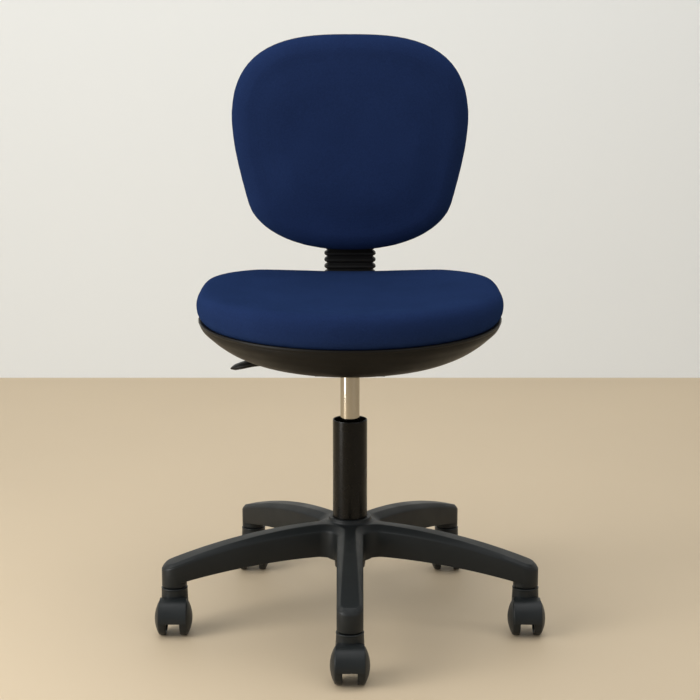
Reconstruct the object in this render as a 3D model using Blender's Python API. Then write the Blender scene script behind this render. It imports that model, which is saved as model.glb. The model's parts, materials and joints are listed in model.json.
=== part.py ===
"""Swivel office chair on a five-leg caster base, as separate solid pieces.

Frame: metres, +Z up. The chair faces -Y, +X is the sitter's left. The origin is on the
floor, under the axis of the gas column. Every piece is one closed body.
"""
import math

import bmesh
import bpy
from mathutils import Matrix, Vector

GAP = 0.0003  # clearance between neighbouring pieces

# Five-leg base
LEG_ANGLES = (-90, -18, 54, 126, 198)  # degrees about +Z, the first leg points at -Y
STEM_CIRCLE = 0.263
LEG_STATIONS = (  # distance from the axis, top, underside
    (0.0300, 0.1380, 0.0880),
    (0.0700, 0.1363, 0.0922),
    (0.1250, 0.1315, 0.0898),
    (0.1670, 0.1250, 0.0860),
    (0.2100, 0.1175, 0.0800),
    (0.2360, 0.1110, 0.0755),
    (0.2630, 0.1010, 0.0720),
)
LEG_WIDTH_HUB = 0.038
LEG_WIDTH_TIP = 0.0355
LEG_PLATEAU_HUB = 0.0145
LEG_PLATEAU_TIP = 0.0235
LEG_SHOULDER = 0.007
LEG_WALL = 0.004
LEG_ROOF = 0.0105
SOCKET_R = 0.0178
SOCKET_BOTTOM = 0.066
SOCKET_TOP = 0.0985
STEM_BORE_TOP = 0.0935
HUB_R = 0.039
HUB_BOTTOM = 0.085
HUB_TOP = 0.1385
HUB_RING_R = 0.031
HUB_RING_TOP = 0.1445
SLEEVE_WALL = 0.0015

# Gas column
TUBE_R = 0.025
TUBE_INNER_R = 0.0232
TUBE_TOP = 0.290
TUBE_BOTTOM = 0.068
BUSHING_BOTTOM = 0.235
BUSHING_TOP = 0.2835
CYLINDER_R = 0.014
CYLINDER_BOTTOM = 0.165
CYLINDER_TOP = 0.385
CYLINDER_TAPER_Z = 0.352
CYLINDER_TOP_R = 0.0132
ROD_R = 0.005
ROD_TIP_R = 0.004
ROD_TOP = 0.235
BUTTON_R = 0.004
BUTTON_TOP = 0.3892

# Casters
WHEEL_R = 0.025
TRAIL = 0.020
WHEEL_INNER_X = 0.010
WHEEL_OUTER_X = 0.0265
AXLE_R = 0.003
STEM_R = 0.005
STEM_TOP_R = 0.0055
HOOD_R = 0.0275
HOOD_WELL_R = 0.0258
HOOD_HALF = 0.019
HOOD_WEB_HALF = 0.0090
HOOD_WEB_R = 0.0105
COLLAR_R = 0.0185
COLLAR_TOP = 0.0645

# Seat
SEAT_HALF_X = 0.2175
SEAT_HALF_Y = 0.210
SEAT_FRONT_POWER = 2.0
SEAT_REAR_POWER = 3.6
SEAM_Z = 0.428
SEAM_RISE = 0.012
SEAT_TOP = 0.4755
SHELL_BOTTOM = 0.3787
SHELL_WALL = 0.003
POCKET_ROOF = 0.4045
BOARD_Z = (0.408, 0.420)
BOARD_SCALE = 0.815

# Mechanism, lever and back bar
PLATE_Z = (0.401, 0.404)
BOX_BOTTOM = 0.3585
LEVER_PIVOT = Vector((-0.034, 0.0, 0.384))
BAR_HALF_WIDTH = 0.030
BAR_THICKNESS = 0.006
BAR_LOW_Z = 0.365
BAR_BACK_Y = 0.240
BAR_BEND = 0.040
BAR_TOP = 0.685
BAR_FRONT_Y = 0.024
SEAT_BOLTS = ((-0.075, -0.065), (0.075, -0.065), (-0.075, 0.065), (0.075, 0.065))
DEPTH_KNOB_Y = 0.0775

# Backrest
BACK_MID_Z = 0.586
BACK_TOP_Z = 0.841
BACK_BOTTOM_Z = 0.510
BACK_HALF_X = 0.1590
BACK_TAPER = 0.2787
BACK_TOP_POWER = 2.79
BACK_BOTTOM_POWER = 2.26
BACK_SEAM_Y = 0.2125
BACK_BOARD_Y = (0.2245, 0.2325)
BACK_SHELL_Y = 0.262
HEIGHT_KNOB_Z = 0.600
BRACKET_Z = (0.560, 0.640)
BRACKET_PLATE = 0.0034
BACK_BOLTS = ((-0.045, 0.575), (0.045, 0.575), (-0.045, 0.625), (0.045, 0.625))

# Looks: linear colour, roughness, metallic
NYLON = ((0.020, 0.021, 0.021), 0.42, 0.0)
SHELL_PLASTIC = ((0.016, 0.014, 0.012), 0.45, 0.0)
FABRIC = ((0.018, 0.038, 0.100), 0.95, 0.0)
RUBBER = ((0.016, 0.015, 0.014), 0.60, 0.0)
PAINT = ((0.020, 0.018, 0.015), 0.32, 0.3)
CHROME = ((0.62, 0.61, 0.59), 0.10, 1.0)
STEEL = ((0.42, 0.42, 0.41), 0.35, 1.0)
PLYWOOD = ((0.45, 0.30, 0.17), 0.70, 0.0)


def clear_scene():
    for obj in list(bpy.data.objects):
        bpy.data.objects.remove(obj)


def make(name, verts, faces, look):
    """One closed mesh object with outward faces, smooth round parts and its own material."""
    mesh = bpy.data.meshes.new(name)
    mesh.from_pydata([tuple(v) for v in verts], [], faces)
    obj = bpy.data.objects.new(name, mesh)
    bpy.context.scene.collection.objects.link(obj)
    tidy(obj)
    colour, roughness, metallic = look
    material = bpy.data.materials.new(name + "_look")
    material.use_nodes = True
    shader = material.node_tree.nodes["Principled BSDF"]
    shader.inputs["Base Color"].default_value = (*colour, 1.0)
    shader.inputs["Roughness"].default_value = roughness
    shader.inputs["Metallic"].default_value = metallic
    mesh.materials.append(material)
    return obj


def tidy(obj):
    """Point the faces outward and shade round parts smooth, leaving hard edges sharp."""
    bm = bmesh.new()
    bm.from_mesh(obj.data)
    bmesh.ops.remove_doubles(bm, verts=bm.verts, dist=0.00001)
    bmesh.ops.recalc_face_normals(bm, faces=bm.faces)
    bm.to_mesh(obj.data)
    bm.free()
    obj.data.polygons.foreach_set("use_smooth", [True] * len(obj.data.polygons))
    obj.data.set_sharp_from_angle(angle=math.radians(35))


def combine(target, tools, operation):
    """Union with, or cut by, each tool in turn. The tools are used up."""
    for tool in tools:
        modifier = target.modifiers.new("combine", "BOOLEAN")
        modifier.operation = operation
        modifier.solver = "EXACT"
        modifier.object = tool
        graph = bpy.context.evaluated_depsgraph_get()
        result = bpy.data.meshes.new_from_object(target.evaluated_get(graph))
        target.modifiers.clear()
        target.data = result
        bpy.data.objects.remove(tool)
    tidy(target)
    return target


def union(target, *tools):
    return combine(target, tools, "UNION")


def cut(target, *tools):
    return combine(target, tools, "DIFFERENCE")


def box(name, low, high, look=STEEL):
    verts = [(x, y, z) for z in (low[2], high[2]) for y in (low[1], high[1]) for x in (low[0], high[0])]
    faces = [(0, 2, 3, 1), (4, 5, 7, 6), (0, 1, 5, 4), (2, 6, 7, 3), (0, 4, 6, 2), (1, 3, 7, 5)]
    return make(name, verts, faces, look)


def lathe(name, profile, segments, look, centre=(0, 0, 0), axis="Z"):
    """Turn a closed (radius, height) profile about an axis. A zero radius is an axis point."""
    turn = {"Z": Matrix.Identity(3), "X": Matrix(((0, 0, 1), (1, 0, 0), (0, 1, 0))),
            "Y": Matrix(((0, 1, 0), (0, 0, 1), (1, 0, 0)))}[axis]
    verts = []
    rows = []
    for radius, height in profile:
        count = segments if radius > 0 else 1
        rows.append([len(verts) + i for i in range(count)])
        for i in range(count):
            angle = 2 * math.pi * i / segments
            point = Vector((radius * math.cos(angle), radius * math.sin(angle), height))
            verts.append(turn @ point + Vector(centre))
    faces = []
    for low, high in zip(rows, rows[1:] + rows[:1]):
        if len(low) == 1 and len(high) == 1:
            continue
        for i in range(segments):
            j = (i + 1) % segments
            corners = (low[i % len(low)], low[j % len(low)], high[j % len(high)], high[i % len(high)])
            faces.append(tuple(dict.fromkeys(corners)))
    return make(name, verts, faces, look)


def rod(name, radius, low, high, look=STEEL, centre=(0, 0, 0), axis="Z", segments=16):
    """A plain cylinder between two heights along an axis."""
    return lathe(name, ((0, low), (radius, low), (radius, high), (0, high)), segments, look, centre, axis)


def loft(name, rings, look, closed=False):
    """Skin over rings of equal length. Open ends get a fan to the ring's middle."""
    count = len(rings[0])
    verts = [Vector(p) for ring in rings for p in ring]
    faces = []
    last = len(rings) if closed else len(rings) - 1
    for r in range(last):
        a = r * count
        b = ((r + 1) % len(rings)) * count
        for i in range(count):
            j = (i + 1) % count
            faces.append((a + i, a + j, b + j, b + i))
    if not closed:
        for start in (0, (len(rings) - 1) * count):
            middle = sum((verts[start + i] for i in range(count)), Vector()) / count
            verts.append(middle)
            faces += [(start + i, start + (i + 1) % count, len(verts) - 1) for i in range(count)]
    return make(name, verts, faces, look)


def dished(name, outer, inner, look):
    """Thin dish: outer rings from the rim to the flat middle, then inner rings back to the rim."""
    rings = outer + inner
    count = len(rings[0])
    verts = [p for ring in rings for p in ring]
    middle = (len(outer) - 1, len(outer))
    faces = [tuple(range(r * count, (r + 1) * count)) for r in middle]
    for r in range(len(rings)):
        if r == middle[0]:
            continue
        a = r * count
        b = ((r + 1) % len(rings)) * count
        faces += [(a + i, a + (i + 1) % count, b + (i + 1) % count, b + i) for i in range(count)]
    return make(name, verts, faces, look)


def prism(name, outline, low, high, look):
    """A flat outline in YZ, given thickness along X."""
    count = len(outline)
    verts = [(x, y, z) for x in (low, high) for y, z in outline]
    faces = [tuple(range(count)), tuple(range(count, 2 * count))]
    faces += [(i, (i + 1) % count, count + (i + 1) % count, count + i) for i in range(count)]
    return make(name, verts, faces, look)


# ---------------------------------------------------------------- base and column

def leg_section(width, plateau, top, bottom):
    """Half-open channel: flat crest, sloping shoulders, upright sides, hollow beneath."""
    half = width / 2
    inner = half - LEG_WALL
    crest = plateau / 2
    shoulder = top - LEG_SHOULDER
    roof = top - LEG_ROOF
    return ((-half, bottom), (-half, shoulder), (-crest, top), (crest, top), (half, shoulder),
            (half, bottom), (inner, bottom), (inner, roof - 0.003), (crest, roof), (-crest, roof),
            (-inner, roof - 0.003), (-inner, bottom))


def leg_mesh(angle):
    """One leg of the star, from inside the hub to the caster socket."""
    first = LEG_STATIONS[0][0]
    rings = []
    for distance, top, bottom in LEG_STATIONS:
        part = (distance - first) / (STEM_CIRCLE - first)
        width = LEG_WIDTH_HUB + (LEG_WIDTH_TIP - LEG_WIDTH_HUB) * part
        plateau = LEG_PLATEAU_HUB + (LEG_PLATEAU_TIP - LEG_PLATEAU_HUB) * part
        section = leg_section(width, plateau, top, bottom)
        rings.append([polar(distance, side, angle, z) for side, z in section])
    count = len(rings[0])
    verts = [p for ring in rings for p in ring]
    faces = [tuple(range(count)), tuple(range(len(verts) - count, len(verts)))]
    for r in range(len(rings) - 1):
        for i in range(count):
            j = (i + 1) % count
            a = r * count
            faces.append((a + i, a + j, a + count + j, a + count + i))
    return make("leg", verts, faces, NYLON)


def polar(distance, side, angle, z):
    """Point at a distance along a leg's direction and to its side."""
    turn = math.radians(angle)
    along = Vector((math.cos(turn), math.sin(turn), 0))
    across = Vector((-math.sin(turn), math.cos(turn), 0))
    return along * distance + across * side + Vector((0, 0, z))


def base_star():
    bore = TUBE_R + SLEEVE_WALL + 2 * GAP
    profile = ((bore, HUB_BOTTOM), (HUB_R - 0.003, HUB_BOTTOM), (HUB_R, HUB_BOTTOM + 0.003),
               (HUB_R, HUB_TOP - 0.004), (HUB_R - 0.004, HUB_TOP), (HUB_RING_R, HUB_TOP),
               (HUB_RING_R, HUB_RING_TOP - 0.001), (HUB_RING_R - 0.001, HUB_RING_TOP),
               (bore, HUB_RING_TOP))
    star = lathe("base_star", profile, 30, NYLON)
    for angle in LEG_ANGLES:
        tip = polar(STEM_CIRCLE, 0, angle, 0)
        nose = lathe("nose", ((0, SOCKET_BOTTOM), (SOCKET_R, SOCKET_BOTTOM), (SOCKET_R, SOCKET_TOP - 0.004),
                              (SOCKET_R - 0.006, SOCKET_TOP), (0, SOCKET_TOP)), 18, NYLON, tip)
        star = union(star, leg_mesh(angle), nose)
    for angle in LEG_ANGLES:
        tip = polar(STEM_CIRCLE, 0, angle, 0)
        socket = rod("bore", STEM_TOP_R + GAP, SOCKET_BOTTOM - 0.01, STEM_BORE_TOP, NYLON, tip, "Z", 14)
        star = cut(star, socket)
    return star


def column():
    """Outer tube with its sleeve, bushing and bottom fixings, then the gas cylinder and rod."""
    lip = TUBE_BOTTOM + 0.004
    floor = TUBE_BOTTOM + 0.0065
    lathe("hub_sleeve", ((TUBE_R + GAP, 0.1000), (TUBE_R + GAP + SLEEVE_WALL, 0.1000),
                         (TUBE_R + GAP + SLEEVE_WALL, HUB_RING_TOP - 0.001),
                         (TUBE_R + GAP, HUB_RING_TOP - 0.001)), 26, STEEL)
    lathe("outer_column", ((0.0202, TUBE_BOTTOM), (0.0220, TUBE_BOTTOM), (TUBE_R, 0.098),
                           (TUBE_R, TUBE_TOP - 0.0012), (TUBE_R - 0.0006, TUBE_TOP),
                           (TUBE_INNER_R + 0.0004, TUBE_TOP), (TUBE_INNER_R, TUBE_TOP - 0.002),
                           (TUBE_INNER_R, 0.102), (0.0204, floor), (ROD_TIP_R + GAP, floor),
                           (ROD_TIP_R + GAP, lip), (0.0202, lip)), 30, PAINT)
    lathe("column_bushing", ((CYLINDER_R + GAP, BUSHING_BOTTOM), (TUBE_INNER_R - GAP, BUSHING_BOTTOM),
                             (TUBE_INNER_R - GAP, BUSHING_TOP), (CYLINDER_R + GAP + 0.001, BUSHING_TOP),
                             (CYLINDER_R + GAP, BUSHING_TOP - 0.001)), 26, NYLON)
    lathe("thrust_bearing", ((ROD_TIP_R + GAP, floor + GAP), (0.0125, floor + GAP),
                             (0.0125, floor + 0.0065), (ROD_TIP_R + GAP, floor + 0.0065)), 18, STEEL)
    lathe("rod_clip", ((ROD_TIP_R + GAP, lip - 0.003), (0.0080, lip - 0.003), (0.0080, lip - GAP),
                       (ROD_TIP_R + GAP, lip - GAP)), 16, STEEL)
    lathe("piston_rod", ((0, lip - 0.0035), (ROD_TIP_R, lip - 0.0035), (ROD_TIP_R, floor + 0.0068),
                         (ROD_R, floor + 0.0068), (ROD_R, ROD_TOP), (0, ROD_TOP)), 16, CHROME)
    lathe("gas_cylinder", ((0, 0.335), (ROD_R + GAP, 0.335), (ROD_R + GAP, CYLINDER_BOTTOM),
                           (CYLINDER_R - 0.001, CYLINDER_BOTTOM), (CYLINDER_R, CYLINDER_BOTTOM + 0.001),
                           (CYLINDER_R, CYLINDER_TAPER_Z), (CYLINDER_TOP_R, CYLINDER_TOP),
                           (BUTTON_R + GAP, CYLINDER_TOP), (BUTTON_R + GAP, CYLINDER_TOP - 0.010),
                           (0, CYLINDER_TOP - 0.010)), 24, CHROME)
    rod("valve_button", BUTTON_R, CYLINDER_TOP - 0.0065, BUTTON_TOP, STEEL)


# ---------------------------------------------------------------- casters

def hood_mesh():
    """Caster housing about its stem axis: mudguard, web between the wheels, round collar."""
    axle = (-TRAIL, WHEEL_R)
    guard = []
    for i in range(15):
        angle = math.radians(-8 + 190 * i / 14)
        guard.append((axle[0] + HOOD_R * math.cos(angle), axle[1] + HOOD_R * math.sin(angle)))
    hood = prism("hood", guard, -HOOD_HALF, HOOD_HALF, NYLON)
    collar = lathe("collar", ((0, 0.036), (COLLAR_R, 0.036), (COLLAR_R, COLLAR_TOP - 0.0015),
                              (COLLAR_R - 0.0015, COLLAR_TOP), (0, COLLAR_TOP)), 20, NYLON)
    hood = union(hood, collar)
    centre = (0, axle[0], axle[1])
    wells = [rod("well", HOOD_WELL_R, low, high, NYLON, centre, "X", 24)
             for low, high in ((-0.04, -HOOD_WEB_HALF), (HOOD_WEB_HALF, 0.04))]
    hood = cut(hood, *wells)
    web = rod("web", HOOD_WEB_R, -HOOD_WEB_HALF, HOOD_WEB_HALF, NYLON, centre, "X", 18)
    hood = union(hood, web)
    axle_bore = rod("axle_bore", AXLE_R + GAP, -0.04, 0.04, NYLON, centre, "X", 12)
    stem_bore = rod("stem_bore", STEM_R + GAP, 0.0465, 0.08, NYLON, (0, 0, 0), "Z", 16)
    return cut(hood, axle_bore, stem_bore)


def wheel_mesh(side):
    """One wheel of a pair about the axle: cylindrical tread, domed outer face, blind bore."""
    profile = ((0, 0.0226), (AXLE_R + GAP, 0.0226), (AXLE_R + GAP, WHEEL_INNER_X), (0.0242, WHEEL_INNER_X),
               (WHEEL_R, WHEEL_INNER_X + 0.0010), (WHEEL_R, 0.0195), (0.0200, 0.0240), (0, WHEEL_OUTER_X))
    profile = tuple((radius, side * x) for radius, x in profile)
    return lathe("wheel", profile, 22, NYLON, (0, -TRAIL, WHEEL_R), "X")


def place_copy(source, name, position, look):
    """A separate piece of the same shape, moved to a place, with its origin on its own axis."""
    verts = [v.co.copy() for v in source.data.vertices]
    faces = [tuple(p.vertices) for p in source.data.polygons]
    obj = make(name, verts, faces, look)
    obj.location = position
    return obj


def casters():
    """Five twin-wheel casters, all trailing towards -Y."""
    stem = lathe("stem", ((0, 0.047), (STEM_R, 0.047), (STEM_R, COLLAR_TOP + 0.0004),
                          (0.0085, COLLAR_TOP + 0.0004), (0.0085, SOCKET_BOTTOM - 0.0004),
                          (STEM_TOP_R, SOCKET_BOTTOM - 0.0004), (STEM_TOP_R, 0.0920), (0, 0.0920)),
                 14, STEEL)
    axle = rod("axle", AXLE_R, -0.0220, 0.0220, STEEL, (0, -TRAIL, WHEEL_R), "X", 12)
    shapes = (("caster_hood", hood_mesh(), NYLON), ("caster_stem", stem, STEEL),
              ("caster_axle", axle, STEEL), ("wheel_left", wheel_mesh(1), NYLON),
              ("wheel_right", wheel_mesh(-1), NYLON))
    for number, angle in enumerate(LEG_ANGLES, start=1):
        spot = polar(STEM_CIRCLE, 0, angle, 0)
        for label, source, look in shapes:
            place_copy(source, f"{label}_{number}", spot, look)
    for label, source, look in shapes:
        bpy.data.objects.remove(source)


# ---------------------------------------------------------------- seat

def seat_point(angle, scale, z):
    """Seat plan: rounder in front, squarer behind."""
    power = SEAT_FRONT_POWER if math.sin(angle) < 0 else SEAT_REAR_POWER
    reach = (abs(math.cos(angle) / SEAT_HALF_X) ** power
             + abs(math.sin(angle) / SEAT_HALF_Y) ** power) ** (-1 / power)
    return Vector((scale * reach * math.cos(angle), scale * reach * math.sin(angle), z))


def seat_ring(scale, z, rise=0.0, narrow=0.0, count=36):
    """One ring of the seat plan, narrowed from side to side by a share of its width.

    Rise says how much of the seam's climb, from the front edge back to the middle, it shares."""
    ring = []
    for i in range(count):
        point = seat_point(2 * math.pi * (i + 0.5) / count, scale, z)
        part = min(1.0, max(0.0, (point.y + SEAT_HALF_Y) / SEAT_HALF_Y))
        point.x *= 1 - narrow
        point.z += SEAM_RISE * rise * part
        ring.append(point)
    return ring


def seat_shell():
    """Thin bowl under the seat, with a raised flat pocket in the middle for the mechanism."""
    outer = ((1.0, SEAM_Z - GAP, 1.0, 0), (1.0, 0.4230, 1.0, 0), (0.965, 0.4103, 0.96, 0.018),
             (0.905, 0.3978, 0.92, 0.040), (0.830, 0.3868, 0.90, 0.068), (0.720, 0.3792, 0.90, 0.086),
             (0.590, SHELL_BOTTOM, 0.90, 0), (0.570, POCKET_ROOF, 0, 0), (0.300, POCKET_ROOF, 0, 0))
    inner = ((0.300, POCKET_ROOF + SHELL_WALL, 0, 0), (0.556, POCKET_ROOF + SHELL_WALL, 0, 0),
             (0.574, SHELL_BOTTOM + SHELL_WALL, 0.90, 0), (0.712, 0.3824, 0.90, 0.086),
             (0.814, 0.3895, 0.90, 0.068), (0.888, 0.3998, 0.92, 0.040), (0.949, 0.4116, 0.96, 0.018),
             (0.984, 0.4230, 1.0, 0), (0.984, SEAM_Z - GAP, 1.0, 0))
    shell = dished("seat_shell", [seat_ring(*row) for row in outer], [seat_ring(*row) for row in inner],
                   SHELL_PLASTIC)
    holes = [rod("hole", 0.0033, 0.395, 0.412, STEEL, (x, y, 0), "Z", 10) for x, y in SEAT_BOLTS]
    return cut(shell, *holes)


def seat_board():
    board = loft("seat_board", [seat_ring(BOARD_SCALE, z) for z in BOARD_Z], PLYWOOD)
    holes = [rod("hole", 0.0033, 0.395, 0.4185, STEEL, (x, y, 0), "Z", 10) for x, y in SEAT_BOLTS]
    return cut(board, *holes)


def seat_cushion():
    """Foam pad in its cover: bulging sides, soft top edge, slightly dished middle."""
    rings = [seat_ring(*row) for row in (
        (0.600, BOARD_Z[1] + GAP, 0), (0.890, BOARD_Z[1] + GAP, 0), (0.966, 0.4250, 0.9),
        (0.978, SEAM_Z + GAP, 1.0), (1.000, SEAM_Z + GAP, 1.0), (1.018, 0.4380, 0.9), (1.022, 0.4500, 0.6),
        (1.006, 0.4640, 0.3), (0.960, 0.4745, 0.15), (0.880, 0.4790, 0.1), (0.650, 0.4765, 0),
        (0.300, SEAT_TOP - 0.001, 0))]
    return loft("seat_cushion", rings, FABRIC)


def hex_bolt(name, shank, head, shank_span, head_span, centre, axis="Z"):
    """Bolt with a six-sided head, standing along an axis."""
    piece = rod(name, shank, shank_span[0], shank_span[1], STEEL, centre, axis, 10)
    return union(piece, rod("head", head, head_span[0], head_span[1], STEEL, centre, axis, 6))


def seat_bolts():
    for number, (x, y) in enumerate(SEAT_BOLTS, start=1):
        hex_bolt(f"seat_bolt_{number}", 0.003, 0.0065, (0.398, 0.4182), (0.3962, PLATE_Z[0] - GAP), (x, y, 0))


# ---------------------------------------------------------------- mechanism and lever

def seat_mechanism():
    """Pressed plate with a box beneath it, the column socket and the back bar's guide block."""
    frame = box("seat_mechanism", (-0.090, -0.080, PLATE_Z[0]), (0.090, 0.080, PLATE_Z[1]), PAINT)
    shell = box("shell", (-0.050, -0.030, BOX_BOTTOM), (0.050, 0.085, PLATE_Z[0] + 0.001), PAINT)
    hollow = box("hollow", (-0.047, -0.027, BOX_BOTTOM - 0.01), (0.047, 0.070, PLATE_Z[0]), PAINT)
    frame = union(frame, cut(shell, hollow))
    web = box("web", (-0.0225, -0.0280, 0.3775), (0.048, 0.071, 0.3805), PAINT)
    socket = rod("socket", 0.019, 0.3560, 0.3855, PAINT, (0, 0, 0), "Z", 28)
    frame = union(frame, web, socket)
    for side in (-1, 1):
        low, high = sorted((side * 0.0085, side * 0.0120))
        lug = box("lug", (-0.040, low, 0.3765), (-0.028, high, PLATE_Z[0] + 0.001), PAINT)
        frame = union(frame, lug)
    bore = lathe("bore", ((0, 0.34), (CYLINDER_R + GAP, 0.34), (CYLINDER_R + GAP, CYLINDER_TAPER_Z),
                          (CYLINDER_TOP_R + GAP, CYLINDER_TOP), (CYLINDER_TOP_R + GAP, 0.39), (0, 0.39)),
                 28, PAINT)
    slot = box("slot", (-BAR_HALF_WIDTH - GAP, 0.060, BAR_LOW_Z - 0.0033),
               (BAR_HALF_WIDTH + GAP, 0.100, BAR_LOW_Z + 0.0033), PAINT)
    knob_hole = rod("knob_hole", 0.0043, 0.35, BAR_LOW_Z, PAINT, (0, DEPTH_KNOB_Y, 0), "Z", 16)
    lever_slot = box("lever_slot", (-0.060, -0.0085, 0.350), (-0.0465, 0.0085, 0.399), PAINT)
    pin_hole = rod("pin_hole", 0.0025 + GAP, -0.02, 0.02, PAINT, (LEVER_PIVOT.x, 0, LEVER_PIVOT.z), "Y", 14)
    frame = cut(frame, bore, slot, knob_hole, lever_slot, pin_hole)
    bolts = [rod("hole", 0.0033, 0.395, 0.41, PAINT, (x, y, 0), "Z", 10) for x, y in SEAT_BOLTS]
    return cut(frame, *bolts)


def sweep(name, path, half_width, half_height, look, corner=12, power=2.0):
    """A rounded section carried along a path in XZ. The section lies across the path."""
    rings = []
    for k, (x, z) in enumerate(path):
        before = path[max(k - 1, 0)]
        after = path[min(k + 1, len(path) - 1)]
        along = Vector((after[0] - before[0], 0, after[1] - before[1])).normalized()
        up = Vector((-along.z, 0, along.x))
        ring = []
        for i in range(corner):
            angle = 2 * math.pi * (i + 0.5) / corner
            across = half_width[k] * math.copysign(abs(math.cos(angle)) ** (2 / power), math.cos(angle))
            raised = half_height[k] * math.copysign(abs(math.sin(angle)) ** (2 / power), math.sin(angle))
            ring.append(Vector((x, across, z)) + up * raised)
        rings.append(ring)
    return loft(name, rings, look)


def lever():
    """Height lever: a steel rocker on a pivot pin, with a leaf-shaped plastic paddle."""
    pivot = LEVER_PIVOT
    path = ((0.0060, 0.3935), (-0.0180, 0.3932), (-0.0300, 0.3890), (-0.0400, 0.3830), (-0.0550, 0.3770),
            (-0.0900, 0.3732), (-0.1300, 0.3734))
    radii = (0.0034, 0.0034, 0.0038, 0.0042, 0.0042, 0.0042, 0.0042)
    arm = sweep("height_lever", path, radii, radii, STEEL)
    barrel = rod("barrel", 0.0065, -0.0075, 0.0075, STEEL, (pivot.x, 0, pivot.z), "Y", 20)
    bore = rod("bore", 0.0025 + GAP, -0.02, 0.02, STEEL, (pivot.x, 0, pivot.z), "Y", 14)
    cut(union(arm, barrel), bore)
    rod("lever_pin", 0.0025, -0.0135, 0.0135, STEEL, (pivot.x, 0, pivot.z), "Y", 14)
    path = ((-0.1080, 0.3733), (-0.1140, 0.3733), (-0.1200, 0.3734), (-0.1300, 0.3734), (-0.1400, 0.3724),
            (-0.1500, 0.3700), (-0.1600, 0.3667), (-0.1675, 0.3640), (-0.1718, 0.3624))
    widths = (0.0064, 0.0074, 0.0092, 0.0128, 0.0156, 0.0164, 0.0146, 0.0098, 0.0036)
    heights = (0.0058, 0.0060, 0.0060, 0.0058, 0.0056, 0.0050, 0.0042, 0.0034, 0.0018)
    paddle = sweep("lever_paddle", path, widths, heights, NYLON, 16)
    hole = sweep("hole", ((-0.1000, 0.37325), (-0.1303, 0.37340)), (0.0045, 0.0045), (0.0045, 0.0045), NYLON)
    return cut(paddle, hole)


# ---------------------------------------------------------------- back bar, bellows and knobs

def bar_path(start_y, top, bend_steps):
    """Points and upward normals along the middle of the bent back bar, in YZ."""
    corner = (BAR_BACK_Y - BAR_BEND, BAR_LOW_Z + BAR_BEND)
    path = [((start_y, BAR_LOW_Z), (0.0, 1.0))]
    for i in range(bend_steps + 1):
        angle = math.radians(90 * i / bend_steps)
        normal = (-math.sin(angle), math.cos(angle))
        path.append(((corner[0] - BAR_BEND * normal[0], corner[1] - BAR_BEND * normal[1]), normal))
    path.append(((BAR_BACK_Y, top), (-1.0, 0.0)))
    return path


def spread(path, step):
    """Even stations along the straight and bent parts of a path."""
    out = [path[0]]
    for (p, n), (q, m) in zip(path, path[1:]):
        length = math.dist(p, q)
        pieces = max(1, round(length / step))
        for i in range(1, pieces + 1):
            t = i / pieces
            point = (p[0] + (q[0] - p[0]) * t, p[1] + (q[1] - p[1]) * t)
            normal = Vector((n[0] + (m[0] - n[0]) * t, n[1] + (m[1] - n[1]) * t)).normalized()
            out.append((point, tuple(normal)))
    return out


def rectangle(half_x, half_depth, chamfer):
    c = chamfer
    return ((-half_x, -half_depth + c), (-half_x + c, -half_depth), (half_x - c, -half_depth),
            (half_x, -half_depth + c), (half_x, half_depth - c), (half_x - c, half_depth),
            (-half_x + c, half_depth), (-half_x, half_depth - c))


def station_ring(station, section):
    (y, z), (ny, nz) = station
    return [Vector((x, y + ny * depth, z + nz * depth)) for x, depth in section]


def back_bar():
    """Flat steel bar bent from under the seat up behind the back, slotted for the clamp."""
    section = rectangle(BAR_HALF_WIDTH, BAR_THICKNESS / 2, 0.0008)
    rings = [station_ring(s, section) for s in bar_path(BAR_FRONT_Y, BAR_TOP, 8)]
    bar = loft("back_bar", rings, PAINT)
    slot = box("slot", (-0.0045, 0.22, 0.594), (0.0045, 0.26, 0.666), PAINT)
    ends = [rod("end", 0.0045, 0.22, 0.26, PAINT, (0, 0, z), "Y", 16) for z in (0.594, 0.666)]
    return cut(bar, slot, *ends)


def bellows():
    """Ribbed rubber sleeve round the bar, from behind the mechanism into the back shell."""
    stations = spread(bar_path(0.105, 0.528, 6), 0.0051)
    outer = []
    inner = []
    for k, station in enumerate(stations):
        ridge = k % 2 == 0
        half_x, half_depth = (0.04035, 0.0150) if ridge else (0.0355, 0.0108)
        outer.append(station_ring(station, rectangle(half_x, half_depth, 0.004)))
    bore = rectangle(0.0325, 0.0060, 0.001)
    for station in reversed(bar_path(0.105, 0.528, 6)):
        inner.append(station_ring(station, bore))
    return loft("bellows", outer + inner, RUBBER, closed=True)


def knob(name, lobes, radius, head, stem, centre, axis):
    """Hand knob: a lobed head on a threaded stem."""
    piece = rod(name, 0.004, stem[0], stem[1], NYLON, centre, axis, 14)
    low, high = head
    rim = 0.0025
    turn = {"Z": lambda a, r, h: Vector((r * math.cos(a), r * math.sin(a), h)),
            "Y": lambda a, r, h: Vector((r * math.cos(a), h, r * math.sin(a)))}[axis]
    rings = []
    for scale, height in ((0.90, low), (1.0, low + rim), (1.0, high - rim), (0.86, high)):
        ring = []
        for i in range(lobes * 6):
            angle = 2 * math.pi * i / (lobes * 6)
            reach = radius * scale * (0.93 + 0.07 * math.cos(lobes * angle))
            ring.append(Vector(centre) + turn(angle, reach, height))
        rings.append(ring)
    return union(piece, loft("head", rings, NYLON))


def knobs():
    knob("depth_knob", 6, 0.016, (0.3375, 0.3545), (0.3500, 0.3612), (0, DEPTH_KNOB_Y, 0), "Z")
    knob("height_knob", 6, 0.021, (0.2655, 0.3040), (0.2340, 0.2700), (0, 0, HEIGHT_KNOB_Z), "Y")


# ---------------------------------------------------------------- backrest

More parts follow.
